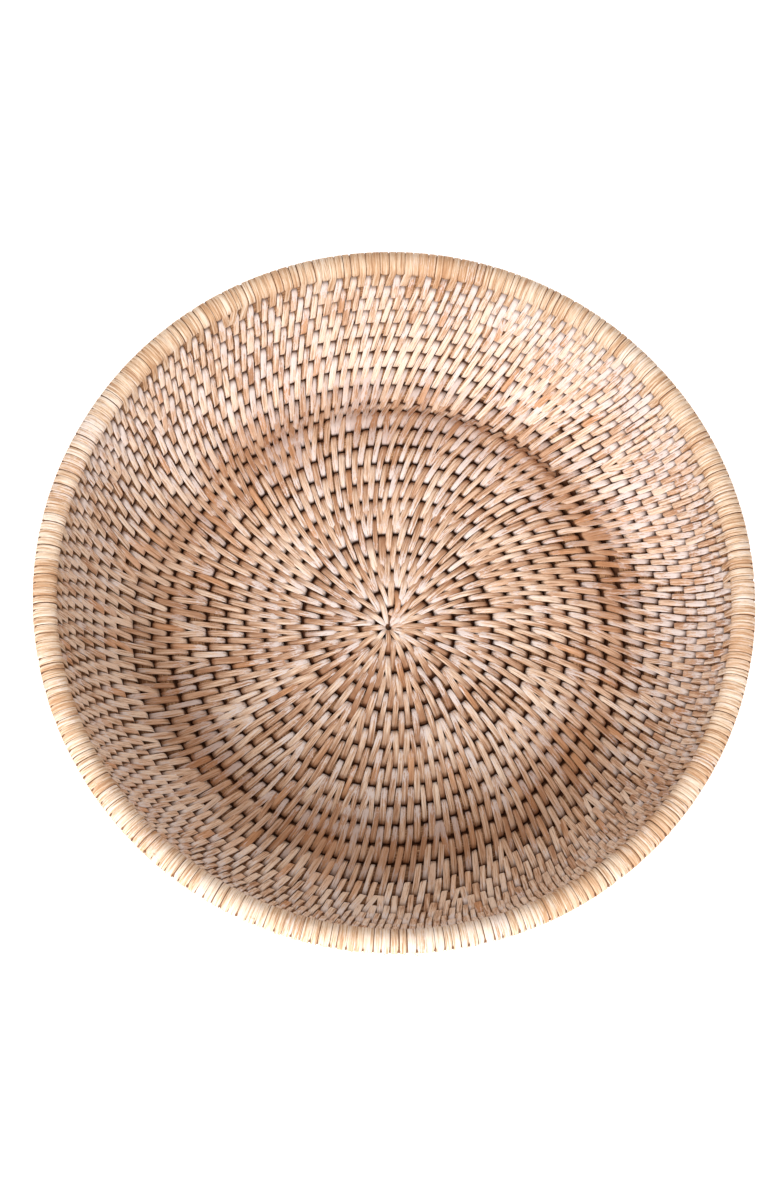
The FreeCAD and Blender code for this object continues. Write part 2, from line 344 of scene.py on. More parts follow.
class StitchPath:
    """The stations of one stitch round two canes. Each has its place between the canes, as a share, the way
    it faces (the cosine away from the canes' line, the sine along it), its weights on the stitch's six
    turns, its angle round the cane and its part of the stitch. ring_pass adds a turn round the outer cane
    alone."""

    def __init__(self, ring_pass=False):
        self.rows = []
        for angle in INNER_ARC:
            cos, sin = on_circle(angle)
            turn_in = smooth_step((180 - angle) / HOLE_ANGLE)
            ahead = SWING_AHEAD * math.sin(math.radians(min(angle, 90)))
            weights = [1 - turn_in, turn_in * (1 + ahead), -turn_in * ahead, 0, 0, 0]
            self.add(0, cos, -sin, weights, angle, "inner")
        for share in TOP_SHARES:
            self.add(share, 1, 0, [0, 1 - share, share, 0, 0, 0], 0, "top")
        outer_arc = RIM_ARC if ring_pass else OUTER_ARC
        for angle in outer_arc:
            cos, sin = on_circle(angle)
            turn_out = 0 if ring_pass else self.turn_out(angle)
            ahead = 0 if ring_pass else SWING_AHEAD * math.sin(math.radians(min(angle, 90)))
            weights = [0, -(1 - turn_out) * ahead, (1 - turn_out) * (1 + ahead), turn_out, 0, 0]
            self.add(1, cos, sin, weights, angle, "outer")
        if ring_pass:
            self.add_ring_pass(outer_arc)
        for share in UNDER_SHARES:
            self.add(1 - share, -1, 0, [0, 0, 0, 1 - share, share, 0], 180, "under")
        self.share = np.array([row[0] for row in self.rows], float)
        self.cos = np.array([row[1] for row in self.rows], float)
        self.sin = np.array([row[2] for row in self.rows], float)
        self.weights = np.array([row[3] for row in self.rows], float)
        self.angle = np.array([row[4] for row in self.rows], float)
        self.part = np.array([row[5] for row in self.rows])

    def turn_out(self, angle):
        """How far the splint has turned from the stitch's outer end to the start of its under-pass."""
        return smooth_step((angle - (180 - HOLE_ANGLE)) / HOLE_ANGLE)

    def add_ring_pass(self, outer_arc):
        for angle in RING_SEAM_ARC:
            cos, sin = on_circle(angle)
            across = smooth_step((angle - 180) / 160)
            self.add(1, cos, sin, [0, 0, 1 - across, 0, 0, across], 270, "seam")
        for angle in outer_arc:
            cos, sin = on_circle(angle)
            turn_out = self.turn_out(angle)
            self.add(1, cos, sin, [0, 0, 0, turn_out, 0, 1 - turn_out], angle, "ring")

    def add(self, *row):
        self.rows.append(row)


PLAIN = StitchPath()
WITH_RING = StitchPath(ring_pass=True)


def patch_value(points, scale, seed):
    """A smooth random field over the basket, about -1 to 1."""
    return np.array([noise.noise(Vector((x / scale, y / scale, z / scale + seed))) for x, y, z in points])


# ---------------------------------------------------------------- one row of stitches

# How a splint lies on its canes. A stitch's inner end rides over the row below. The rim's turns are laid
# more evenly than the stitches.
CLEARANCE = 0.02
RIDE_OVER = 0.34
LIFT_SPREAD = 0.08
LIFT_RANGE = (-0.1, 0.16)
INNER_BULGE = 0.6
OUTER_BULGE = 0.3
BULGE_HEIGHTS = [15, 50]
ROLL_SPREAD = 5.0
RIM_UNEVENNESS = 0.3
RIM_SECTION_POWER = 0.35

# The splint's width, as shares: by the angle round a cane, from stitch to stitch, and by the radius. In the
# eye it is no wider than there is room for.
NARROW_ANGLES = [0, 45, 75, 100, 180]
NARROW_SHARES = [1.0, 0.98, 0.88, 0.75, 0.92]
INNER_NARROW_ANGLES = [0, 60, 180]
INNER_NARROW_SHARES = [0.98, 0.93, 1.0]
WIDTH_SPREAD = 0.11
WIDTH_RANGE = (0.75, 1.25)
WIDTH_WOBBLE = 0.02
FAN_RADII = [0, 25, 80]
FAN_WIDTHS = [0.86, 0.97, 1.0]
EYE_WIDTH = 0.3
EYE_WIDENING = 0.22
EYE_CREAM = 0.2

# The random fields that vary the stitches' colour: the size of their patches, and where each field is cut.
BLUSH_PATCH, BLUSH_CUT = 26.0, 3.0
TONE_PATCH, TONE_CUT = 60.0, 11.0
WASH_PATCH, WASH_CUT = 80.0, 5.0

# Angles round a cane where the painted brown shade and the painted dark shade between the canes begin, and
# where they end.
BROWN_FROM = 14
BASE_DIVE_FROM = 52
WALL_DIVE_FROM = 36
DEEP_DIVE_FROM = 32
DARK_UNTIL = 132
RIM_DIVE_FROM = 166
# The middle of the base has more painted shade between the stitches: the radii between which that fades.
MIDDLE_RADII = [50, 90]


class StitchRow:
    """One row's splint: a single ribbon that winds round two canes at each stitch and steps on between
    them. kind is "base", "wall" or "rim". stitches holds each one's inner and outer end, in turns.
    circles(turn) gives (radius, height, cane) of the inner cane and of the outer cane."""

    def __init__(self, kind, stitches, circles, eye=False):
        self.kind = kind
        self.eye = eye
        self.count = len(stitches)
        self.centre = SPIRAL_CENTRE if kind == "base" else RIM_CENTRE
        self.unevenness = RIM_UNEVENNESS if kind == "rim" else 1.0
        self.stations = WITH_RING if kind == "rim" else PLAIN
        self.part = self.stations.part
        self.angle = self.stations.angle
        self.share = self.stations.share
        self.on_top = np.isin(self.part, ["inner", "top", "outer", "ring"]) & (self.angle < 90)
        self.find_ends(stitches)
        self.wind_round_canes(circles)
        self.shape_ribbon()
        self.draw_colours()
        self.find_places()

    def find_ends(self, stitches):
        """The six turns of each stitch that StitchPath's weights share out."""
        inner_end = np.array([a for a, b in stitches])
        outer_end = np.array([b for a, b in stitches])
        step = (outer_end[-1] - outer_end[0]) / max(self.count - 1, 1)
        next_inner = np.append(inner_end[1:], outer_end[-1] + step)
        middle = (outer_end + next_inner) / 2
        under_start = middle + (outer_end - inner_end) / 2
        under_end = middle - (outer_end - inner_end) / 2
        before = np.insert(under_end[:-1], 0, inner_end[0] - step / 2)
        ring_turn = outer_end + np.append(np.diff(outer_end), step) / 2
        self.ends = np.stack([before, inner_end, outer_end, under_start, under_end, ring_turn], axis=1)
        self.outer_end = outer_end
        self.ring_turn = ring_turn
        self.step = step

    def wind_round_canes(self, circles):
        """The path along the middle of the splint's underside, and the way the splint faces there."""
        stations = self.stations
        turn = self.ends @ stations.weights.T
        (r1, z1, cane_1), (r2, z2, cane_2) = circles(turn)
        run = unit(np.stack([r2 - r1, z2 - z1], axis=-1))
        facing = np.stack([-run[..., 1], run[..., 0]], axis=-1)
        out = stations.cos[None, :, None] * facing + stations.sin[None, :, None] * run
        share = self.share[None, :]

        head = np.select([self.part == "inner", self.part == "top"], [1.0, 1 - self.share], 0.0)
        ride_over = RIDE_OVER * head * self.on_top
        lift = self.unevenness * rng.normal(0, LIFT_SPREAD, self.count)
        lift = lift[:, None] * self.on_top[None, :]
        cane = cane_1 + (cane_2 - cane_1) * share
        reach = cane + CLEARANCE + ride_over[None, :] + np.clip(lift, *LIFT_RANGE)
        if self.kind == "wall":
            reach = reach + self.bulge(turn, z2)
        self.radius = r1 + (r2 - r1) * share + reach * out[..., 0]
        height = z1 + (z2 - z1) * share + reach * out[..., 1]

        plan = direction(turn.reshape(-1))
        flat_radius = self.radius.reshape(-1)
        self.path = np.empty((turn.size, 3))
        self.path[:, :2] = self.centre + flat_radius[:, None] * plan
        self.path[:, 2] = height.reshape(-1)
        if self.eye:
            self.path[:, :2] += EYE_SHIFT * (1 - smooth_step(flat_radius / EYE_REACH))[:, None]
        self.normal = np.empty_like(self.path)
        self.normal[:, :2] = out[..., 0].reshape(-1)[:, None] * plan
        self.normal[:, 2] = out[..., 1].reshape(-1)

    def bulge(self, turn, height):
        """How far a wall splint stands off the canes where it bends: more towards the side where the gaps
        have least painted shade, and none at the foot of the wall."""
        stiff = np.select([self.part == "inner", self.part == "outer"], [INNER_BULGE, OUTER_BULGE], 0.0)
        stiff = stiff * np.sin(np.radians(2 * np.minimum(self.angle, 90)))
        least_shade_share = 0.5 + 0.5 * towards(turn, LEAST_SHADE_AT)
        return stiff[None, :] * least_shade_share * np.interp(height, BULGE_HEIGHTS, [0.0, 1.0])

    def half_widths(self):
        """Half the splint's width at each station of each stitch."""
        narrow = np.interp(self.angle, NARROW_ANGLES, NARROW_SHARES)
        inner_narrow = narrow * np.interp(self.angle, INNER_NARROW_ANGLES, INNER_NARROW_SHARES)
        narrow = np.where(self.part == "inner", inner_narrow, narrow)
        wide = rng.normal(1.0, WIDTH_SPREAD, self.count).clip(*WIDTH_RANGE)
        wobble = rng.normal(0, WIDTH_WOBBLE, (self.count, self.angle.size))
        width = BASE_SPLINT_WIDTH if self.kind == "base" else WALL_SPLINT_WIDTH
        half = width / 2 * wide[:, None] * narrow[None, :] * (1 + wobble)
        half = half * np.interp(self.radius, FAN_RADII, FAN_WIDTHS)
        if self.eye:
            half = np.minimum(half, EYE_WIDENING * self.radius + EYE_WIDTH)
        return half

    def shape_ribbon(self):
        """The ribbon's vertices. Each stitch is rolled a little about its own length."""
        half = self.half_widths()
        left, right = half, half
        section_up = SECTION_UP
        if self.kind == "rim":
            left, right = rim_widths(self, half)
            section_up = SECTION_UP ** RIM_SECTION_POWER
        roll = self.unevenness * rng.normal(0, math.radians(ROLL_SPREAD), self.count)
        roll = (roll[:, None] * self.on_top[None, :]).reshape(-1)
        self.points, self.across = ribbon_points(self.path, self.normal, left.reshape(-1), right.reshape(-1),
                                                 roll, section_up)

    def draw_colours(self):
        """The random part of each stitch's colour."""
        count = self.count
        self.tone_draw = rng.normal(0, 0.2, count)
        self.blush_draw = rng.normal(0, 0.30, count)
        self.stain_draw = rng.normal(0, 0.22, count)
        self.orange = rng.uniform(0, 1, count) < ORANGE_SHARE
        self.seed = rng.uniform(0, 100, count)
        self.wash_draw = rng.normal(0, 0.3, count)
        self.edge_draw = rng.uniform(0.90, 1.0, (count, 2))

    def find_places(self):
        """Where each stitch's middle lies on the basket, and how stained it is there."""
        middle_station = len(INNER_ARC) + len(TOP_SHARES) // 2
        self.centres = self.path.reshape(self.count, -1, 3)[:, middle_station]
        self.distance = np.hypot(self.centres[:, 0], self.centres[:, 1])
        self.azimuth = np.arctan2(self.centres[:, 0], self.centres[:, 1]) / FULL_TURN
        self.paler_side = towards(self.azimuth, PALEST_AT)
        self.patches = patch_value(self.centres, BLUSH_PATCH, BLUSH_CUT)
        stain = np.interp(self.distance, STAIN_RADII, STAINS)
        self.stain = stain * (0.75 + 0.9 * self.patches + self.stain_draw).clip(0, 1)

    def tone(self):
        """How pale each stitch is, from 0 to 1."""
        tone = 0.5 + 0.14 * patch_value(self.centres, TONE_PATCH, TONE_CUT) + self.tone_draw
        # Painted light and shade round the basket: the rim is a little darker towards PALEST_AT, and the wall
        # is paler overall but darker round DARKEST_AT.
        if self.kind == "rim":
            tone += 0.02 - 0.04 * self.paler_side
        elif self.kind == "wall":
            darker_side = towards(self.azimuth, DARKEST_AT).clip(0, 1)
            tone += 0.27 - 0.3 * darker_side ** 2
        tone -= 0.2 * self.stain
        if self.kind == "base":
            tone -= 0.08 * np.interp(self.distance, [50, 80], [1.0, 0.0])
        return tone

    def blush(self):
        """How tan each stitch is. A few are orange."""
        if self.kind == "rim":
            return 0.4 * smooth_step((self.patches - 0.3) / 0.3)
        blush = 0.6 * smooth_step((self.patches + self.blush_draw - 0.38) / 0.35)
        blush += 0.45 * self.stain
        return np.where(self.orange, 1.1, blush)

    def wash(self):
        """How much whitewash has caught at each station: most at a base stitch's inner end and at a wall
        stitch's outer end, and evenly on the rim."""
        part, share = self.part, self.share
        level = 0.8 * patch_value(self.centres, WASH_PATCH, WASH_CUT)
        if self.kind == "base":
            wash = np.select([part == "inner", part == "top"], [1.0, 1 - 1.6 * share], 0.0)
            level += 0.5 * self.stain
        elif self.kind == "wall":
            wash = np.select([part == "outer", part == "top"], [1.0, 1.6 * share - 0.6], 0.0)
            level += 0.25 + 0.35 * self.paler_side
        else:
            wash = np.full(share.size, 0.45)
            level -= 0.1 + 0.2 * self.paler_side
        return wash.clip(0, 1)[None, :] + (level + self.wash_draw)[:, None]

    def darkness(self):
        """How strong the painted shade between the canes is: less on the paler side of the rim, and less high
        up on the wall's least shaded side."""
        darkness = np.ones(self.count)
        if self.kind == "rim":
            darkness -= 0.3 * (1 + self.paler_side)
        elif self.kind == "wall":
            paler = np.interp(self.centres[:, 2], WALL_PALE_HEIGHTS, WALL_PALE_SHARES)
            darkness -= paler * (1 + towards(self.azimuth, LEAST_SHADE_AT))
        return darkness

    def dive_and_brown(self):
        """The painted dark shade where the splint dives between the canes, and the painted brown shade around
        it together with the brown of the stain.
        """
        part, angle = self.part, self.angle
        on_way_down = smooth_step((DARK_UNTIL - angle) / 15)
        dive_from = BASE_DIVE_FROM if self.kind == "base" else WALL_DIVE_FROM
        dive = smooth_step((angle - dive_from) / 12) * on_way_down
        brown = smooth_step((angle - BROWN_FROM) / 36) * on_way_down * (part == "outer")
        if self.kind == "rim":
            last_dive = smooth_step((angle - RIM_DIVE_FROM) / 14)
            dive = np.select([part == "inner", part == "seam", part == "outer"], [dive, 1.0, last_dive], 0.0)
            brown = np.zeros(angle.size)
        darkness = self.darkness()
        dive = dive[None, :] * darkness[:, None]
        brown = brown[None, :] * darkness[:, None] ** 2
        brown = np.maximum(brown, 0.6 * self.stain[:, None] * self.on_top[None, :])
        # Painted shade on the sunk outer half of a base stitch, and painted dark shade further down its outer
        # end, strongest in the middle of the base.
        if self.kind == "base":
            sunk = np.select([part == "top", part == "outer"], [self.share, 1.0], 0.0)
            sunk = 0.75 * smooth_step((sunk - 0.5) / 0.5) * self.on_top
            brown = np.maximum(brown, sunk[None, :] * np.interp(self.radius, MIDDLE_RADII, [1.0, 0.3]))
            deep = smooth_step((angle - DEEP_DIVE_FROM) / 16) * on_way_down * (part == "outer")
            dive = np.maximum(dive, deep[None, :] * np.interp(self.radius, MIDDLE_RADII, [1.0, 0.0]))
        return dive, brown

    def spread(self, values):
        """A value for each stitch or station, repeated for every vertex."""
        each = np.broadcast_to(values, (self.count, self.angle.size)).reshape(-1)
        return np.repeat(each, SECTION_ACROSS.size)

    def build(self, name, material):
        """The mesh, with three attributes. paint holds tone, blush and wash. grain holds the distance along
        the splint, the distance across it and a seed. shade holds the painted dark shade where it dives, the
        nearness to an edge for the painted edge shade, and the brown of painted shade and stain."""
        tone = self.tone()[:, None]
        if self.eye:
            tone = tone + EYE_CREAM * (1 - smooth_step((self.radius - 6) / EYE_REACH))
        blush = self.blush()[:, None]
        paint = np.stack([self.spread(tone), self.spread(blush), self.spread(self.wash())], axis=1)
        along = np.repeat(distance_along(self.path), SECTION_ACROSS.size)
        grain = np.stack([along, self.across, self.spread(self.seed[:, None])], axis=1)
        # Painted shade along the splint's edges, with a strength of its own on each side.
        side = np.where(SECTION_ACROSS < 0, self.edge_draw[:, :1], self.edge_draw[:, 1:])
        edge = np.repeat(np.abs(SECTION_ACROSS) * side, self.angle.size, axis=0).ravel()
        dive, brown = self.dive_and_brown()
        shade = np.stack([self.spread(dive), edge, self.spread(brown)], axis=1)
        attributes = {"paint": paint, "grain": grain, "shade": shade}
        faces = strip_faces(len(self.path), SECTION_ACROSS.size)
        return build_mesh(name, self.points, faces, attributes, material)


# The rim's turns: how uneven they are, the gap between two of them, and how far a turn is pinched in where
# it passes under the rim hoop.
RIM_WIDTH_SPREAD = 0.09
RIM_WIDTH_RANGE = (-0.2, 0.2)
HAIRLINE = 0.28
HAIRLINE_POWER = 1.4
PINCH_ANGLES = [126, 138, 148, 158]
PINCHES = [0.0, 0.42, 0.42, 0.0]
WEAK_PINCH = 0.25
SWELL_ANGLES = [0, 90, 180]
SWELLS = [-0.03, 0.04, -0.02]
NARROWEST_HALF = 0.5


def rim_widths(row, half):
    """Half-widths of the rim's uneven turns: each reaches the next, with a hairline between."""
    passes = np.stack([row.outer_end, row.ring_turn], axis=1).reshape(-1)
    passes = np.append(passes, passes[-1] + row.step / 2)
    arc_length = np.diff(passes) * FULL_TURN * RIM.radius
    uneven = rng.normal(0, RIM_WIDTH_SPREAD, arc_length.size).clip(*RIM_WIDTH_RANGE)
    after = arc_length * (0.5 + uneven)
    before = np.roll(arc_length - after, 1)
    hairline = HAIRLINE * rng.uniform(0, 1, arc_length.size) ** HAIRLINE_POWER
    after = (after - hairline).reshape(row.count, 2)
    before = (before - np.roll(hairline, 1)).reshape(row.count, 2)
    pinch = np.interp(row.angle, PINCH_ANGLES, PINCHES)
    swell = 1 + np.interp(row.angle, SWELL_ANGLES, SWELLS)
    left = half.copy()
    right = half.copy()
    outer = row.part == "outer"
    ring = row.part == "ring"
    left[:, outer] = before[:, :1] * swell[outer] - WEAK_PINCH * pinch[outer]
    right[:, outer] = after[:, :1] * swell[outer] - pinch[outer]
    left[:, ring] = before[:, 1:] * swell[ring] - pinch[ring]
    right[:, ring] = after[:, 1:] * swell[ring] - WEAK_PINCH * pinch[ring]
    return np.maximum(left, NARROWEST_HALF), np.maximum(right, NARROWEST_HALF)


# ---------------------------------------------------------------- loose fibres

FIBRE_STATIONS = 8
FIBRE_AROUND = 4
FIBRE_THICK = 0.17
FIBRE_LENGTHS = (3.5, 9.0)
FIBRE_RISES = (0.15, 0.55)
FIBRE_CURL = 0.5
FIBRE_OFFSET = 0.1
FIBRE_PAINT = [0.55, 0.2, 0.3]
RIM_FIBRES = 16
RIM_FIBRE_TURNS = (0.28, 0.6)
RIM_FIBRE_ANGLES = (-30, 70)
WALL_FIBRES = 14


def loose_fibres(name, places, material):
    """Thin curved hairs that stand off the splints. places holds each one's turn, root, and outward normal
    in (radius, height)."""
    points, faces, grain = [], [], []
    share = np.linspace(0, 1, FIBRE_STATIONS)
    for turn, root, normal in places:
        plan = direction(turn)
        outward = np.array([normal[0] * plan[0], normal[0] * plan[1], normal[1]])
        along = np.array([plan[1], -plan[0], 0.0]) * rng.choice([-1, 1])
        length = rng.uniform(*FIBRE_LENGTHS)
        rise = rng.uniform(*FIBRE_RISES)
        curl = rng.normal(0, FIBRE_CURL, 3)
        start = np.array([root[0] * plan[0], root[0] * plan[1], root[1]])
        path = start + length * (share[:, None] * (along + rise * outward) + share[:, None] ** 2 * curl * 0.4)
        path += FIBRE_OFFSET * outward
        tangent = unit(np.gradient(path, axis=0))
        side = unit(np.cross(tangent, outward))
        up = np.cross(side, tangent)
        thick = FIBRE_THICK * (1 - 0.8 * share)
        first = len(points)
        for i in range(FIBRE_STATIONS):
            for j in range(FIBRE_AROUND):
                angle = FULL_TURN * j / FIBRE_AROUND
                points.append(path[i] + thick[i] * (math.cos(angle) * side[i] + math.sin(angle) * up[i]))
                grain.append((length * share[i], 0.0, first))
        faces += strip_faces(FIBRE_STATIONS, FIBRE_AROUND, start=first)
    count = len(points)
    paint = np.tile(FIBRE_PAINT, (count, 1))
    attributes = {"paint": paint, "grain": np.array(grain, float), "shade": np.zeros((count, 3))}
    return build_mesh(name, np.array(points), faces, attributes, material)


def fibre_places():
    """Roots of the loose fibres: half on the rim's outer side near +X and -Y, half inside the wall."""
    places = []
    reach = RIM.cane + SPLINT_THICKNESS
    for _ in range(RIM_FIBRES):
        angle = math.radians(rng.uniform(*RIM_FIBRE_ANGLES))
        normal = (math.cos(angle), math.sin(angle))
        root = (RIM.radius + reach * normal[0], RIM.height + reach * normal[1])
        places.append((rng.uniform(*RIM_FIBRE_TURNS), root, normal))
    for _ in range(WALL_FIBRES):
        hoop = HOOPS[rng.randint(1, HOOP_COUNT)]
        reach = hoop.cane + SPLINT_THICKNESS
        places.append((rng.uniform(0, 1), (hoop.radius - reach, hoop.height), (-1.0, 0.3)))
    return places


# ---------------------------------------------------------------- the canes

CANE_AROUND = 40
RIDGE_HEIGHT = 0.035
RIDGE_SPREAD = 0.014
WANDER = 0.006
WANDERS_PER_TURN = 9
LIP = 0.95
RIM_LIP = 1.5
LIP_SHARPNESS = 12
SEAM_FROM = 0.70
SEAM_FADE = 0.18
BASE_STATION_LENGTH = 3.0
HOOP_STATIONS = 360
STAND_OFF_REACH = 1.3
STAND_OFF_MOST = 3
SHADED_SIDE_DEPTH = 0.25


def cane_tube(name, turns, centre, circle, lips, closed, material, depth=0.0, share=1.0):
    """A cane core with real ridges for its fibres. Its fibres are pressed out towards each neighbouring
    cane, so that no light comes through the seam: lips holds each neighbour's direction in the section and
    how far the fibres reach towards it. The shade attribute paints shade into the seams, by share, and over
    the cane, by depth."""
    radius, height, cane = circle
    angle = np.arange(CANE_AROUND) / CANE_AROUND * FULL_TURN
    ridge = RIDGE_HEIGHT * np.cos(angle * CANE_AROUND / 2) + rng.normal(0, RIDGE_SPREAD, CANE_AROUND)
    cycles = np.round(turns[-1] - turns[0]) * WANDERS_PER_TURN
    along = (turns - turns[0]) / (turns[-1] - turns[0]) * FULL_TURN * cycles
    wander = WANDER * np.sin(along[:, None] + angle[None, :] * 3)
    tube = cane[:, None] * (1 - RIDGE_HEIGHT + ridge[None, :] + wander)
    seam = np.zeros((turns.size, CANE_AROUND))
    for lip, reach in lips:
        facing = np.cos(angle - lip).clip(0, 1)[None, :]
        tube = tube + np.reshape(reach, (-1, 1)) * facing ** LIP_SHARPNESS
        seam = np.maximum(seam, smooth_step((facing - SEAM_FROM) / SEAM_FADE))
    seam = seam * np.reshape(share, (-1, 1))
    depth = np.broadcast_to(np.reshape(depth, (-1, 1)), seam.shape)
    plan = direction(turns)
    out = radius[:, None] + tube * np.cos(angle)[None, :]
    points = np.empty((turns.size, CANE_AROUND, 3))
    points[..., 0] = centre[0] + out * plan[:, :1]
    points[..., 1] = centre[1] + out * plan[:, 1:]
    points[..., 2] = height[:, None] + tube * np.sin(angle)[None, :]
    grain = np.empty((turns.size, CANE_AROUND, 3))
    grain[..., 0] = distance_along(points[:, 0])[:, None]
    grain[..., 1] = angle[None, :] * BASE_CANE
    grain[..., 2] = rng.uniform(0, 100)
    shade = np.stack([np.maximum(seam, depth), depth, np.zeros(depth.shape)], axis=-1).reshape(-1, 3)
    attributes = {"grain": grain.reshape(-1, 3), "shade": shade}
    faces = strip_faces(turns.size, CANE_AROUND, closed=closed)
    return build_mesh(name, points.reshape(-1, 3), faces, attributes, material)


def base_cane(name, material):
    """The base's spiral cane. It has painted shade that deepens towards the middle, nearly black in the eye's
    hollow.
    """
    turns = [CANE_START]
    while turns[-1] < COIL_END:
        turns.append(turns[-1] + BASE_STATION_LENGTH / (FULL_TURN * float(coil_circle(turns[-1])[0])))
    turns = np.array(turns)
    depth = np.interp(turns, [HOLLOW_TURNS, 2 * HOLLOW_TURNS, 4, 9], [1.0, 0.6, 0.5, 0.0])
    lips = [(0, LIP), (math.pi, LIP)]
    return cane_tube(name, turns, SPIRAL_CENTRE, coil_circle(turns), lips, False, material, depth)


def hoop_cane(name, hoop, neighbours, material):
    """A wall hoop's cane. neighbours are (radius, height) of the canes below and above it. The first hoop
    reaches further where the base coil's last turn stands off from it."""
    turns = np.arange(HOOP_STATIONS) / HOOP_STATIONS
    stand_off = np.zeros(turns.size)
    if hoop is HOOPS[0]:
        stand_off = BASE_EDGE_RADIUS - edge_from_rim_centre(last_coil_turn(turns))
    below = LIP + STAND_OFF_REACH * stand_off.clip(0, STAND_OFF_MOST)
    above = RIM_LIP if hoop is HOOPS[-1] else LIP
    lips = []
    for reach, (radius, height) in zip([below, above], neighbours):
        lips.append((math.atan2(height - hoop.height, radius - hoop.radius), reach))
    # Painted shade: less in the seams on the paler side high up, and over the whole cane away from the paler
    # side.
    paler_side = towards(turns, PALEST_AT)
    share = 1 - np.interp(hoop.height, WALL_PALE_HEIGHTS, WALL_PALE_SHARES) * (1 + paler_side)
    depth = SHADED_SIDE_DEPTH * (1 - paler_side)
    return cane_tube(name, turns, RIM_CENTRE, hoop_circle(hoop, turns), lips, True, material, depth, share)


# ---------------------------------------------------------------- materials

def linear(red, green, blue):
    """A display colour, 0 to 255, as a linear colour."""
    parts = []
    for value in (red, green, blue):
        value /= 255
        parts.append(value / 12.92 if value <= 0.04045 else ((value + 0.055) / 1.055) ** 2.4)
    return (*parts, 1.0)


BODY_STOPS = [(0.0, linear(186, 143, 113)), (0.33, linear(212, 175, 146)),
              (0.66, linear(230, 200, 174)), (1.0, linear(245, 224, 205))]
RIM_STOPS = [(0.0, linear(198, 156, 120)), (0.33, linear(213, 180, 149)),
             (0.66, linear(227, 202, 176)), (1.0, linear(238, 220, 202))]
CANE_STOPS = [(0.30, linear(104, 68, 46)), (0.46, linear(158, 114, 80)),
              (0.60, linear(196, 152, 114)), (0.80, linear(220, 184, 150))]
TAN = linear(208, 150, 104)
FIBRE_BROWN = linear(146, 104, 76)
HAIR_BROWN = linear(152, 112, 86)
WHITEWASH = linear(233, 223, 221)
EDGE_SHADE_BROWN = linear(104, 60, 34)
SHADE_AND_STAIN_BROWN = linear(146, 98, 66)
DIVE_SHADE_BROWN = linear(80, 44, 23)
PALE_CANE = linear(206, 180, 158)
SEAM_SHADE_BROWN = linear(80, 45, 25)
HOLLOW_SHADE = linear(20, 11, 6)


class Nodes:
    """Small helpers for one material's node tree."""

    def __init__(self, name):
        self.material = bpy.data.materials.new(name)
        self.material.use_nodes = True
        self.tree = self.material.node_tree
        self.shader = self.tree.nodes["Principled BSDF"]

    def node(self, kind, **settings):
        made = self.tree.nodes.new(kind)
        for key, value in settings.items():
            setattr(made, key, value)
        return made

    def link(self, source, target):
        self.tree.links.new(source, target)

    def put(self, socket, value):
        if hasattr(value, "is_output"):
            self.link(value, socket)
        else:
            socket.default_value = value

    def math(self, operation, a, b=0.0):
        made = self.node("ShaderNodeMath", operation=operation)
        self.put(made.inputs[0], a)
        self.put(made.inputs[1], b)
        return made.outputs[0]

    def plus(self, a, b):
        return self.math("ADD", a, b)

    def minus(self, a, b):
        return self.math("SUBTRACT", a, b)

    def times(self, a, b):
        return self.math("MULTIPLY", a, b)

    def fixed(self, socket, value):
        self.shader.inputs[socket].default_value = value

    def bump(self, height, strength, distance):
        made = self.node("ShaderNodeBump")
        made.inputs["Strength"].default_value = strength
        made.inputs["Distance"].default_value = distance
        self.link(height, made.inputs["Height"])
        self.link(made.outputs["Normal"], self.shader.inputs["Normal"])

    def mix(self, factor, a, b):
        made = self.node("ShaderNodeMix", data_type="RGBA")
        self.put(made.inputs["Factor"], factor)
        self.put(made.inputs[6], a)
        self.put(made.inputs[7], b)
        return made.outputs[2]

    def attribute(self, name):
        return self.node("ShaderNodeAttribute", attribute_name=name, attribute_type="GEOMETRY")

    def separate(self, vector):
        made = self.node("ShaderNodeSeparateXYZ")
        self.link(vector, made.inputs[0])
        return made.outputs

    def combine(self, x, y, z):
        made = self.node("ShaderNodeCombineXYZ")
        for socket, value in zip(made.inputs, (x, y, z)):
            self.put(socket, value)
        return made.outputs[0]

    def noise(self, vector, scale, detail=2.0, roughness=0.5, w=None):
        made = self.node("ShaderNodeTexNoise", noise_dimensions="3D" if w is None else "4D")
        self.link(vector, made.inputs["Vector"])
        made.inputs["Scale"].default_value = scale
        made.inputs["Detail"].default_value = detail
        made.inputs["Roughness"].default_value = roughness
        if w is not None:
            self.put(made.inputs["W"], w)
        return made.outputs["Fac"]

    def ramp(self, value, stops):
        made = self.node("ShaderNodeValToRGB")
        self.put(made.inputs[0], value)
        elements = made.color_ramp.elements
        while len(elements) < len(stops):
            elements.new(0.5)
        for element, (place, colour) in zip(elements, stops):
            element.position = place
            element.color = colour
        return made.outputs[0]

    def band(self, value, low, high):
        """0 below low, 1 above high."""
        made = self.node("ShaderNodeMapRange", interpolation_type="SMOOTHSTEP")
        self.put(made.inputs[0], value)
        made.inputs[1].default_value = low
        made.inputs[2].default_value = high
        return made.outputs[0]


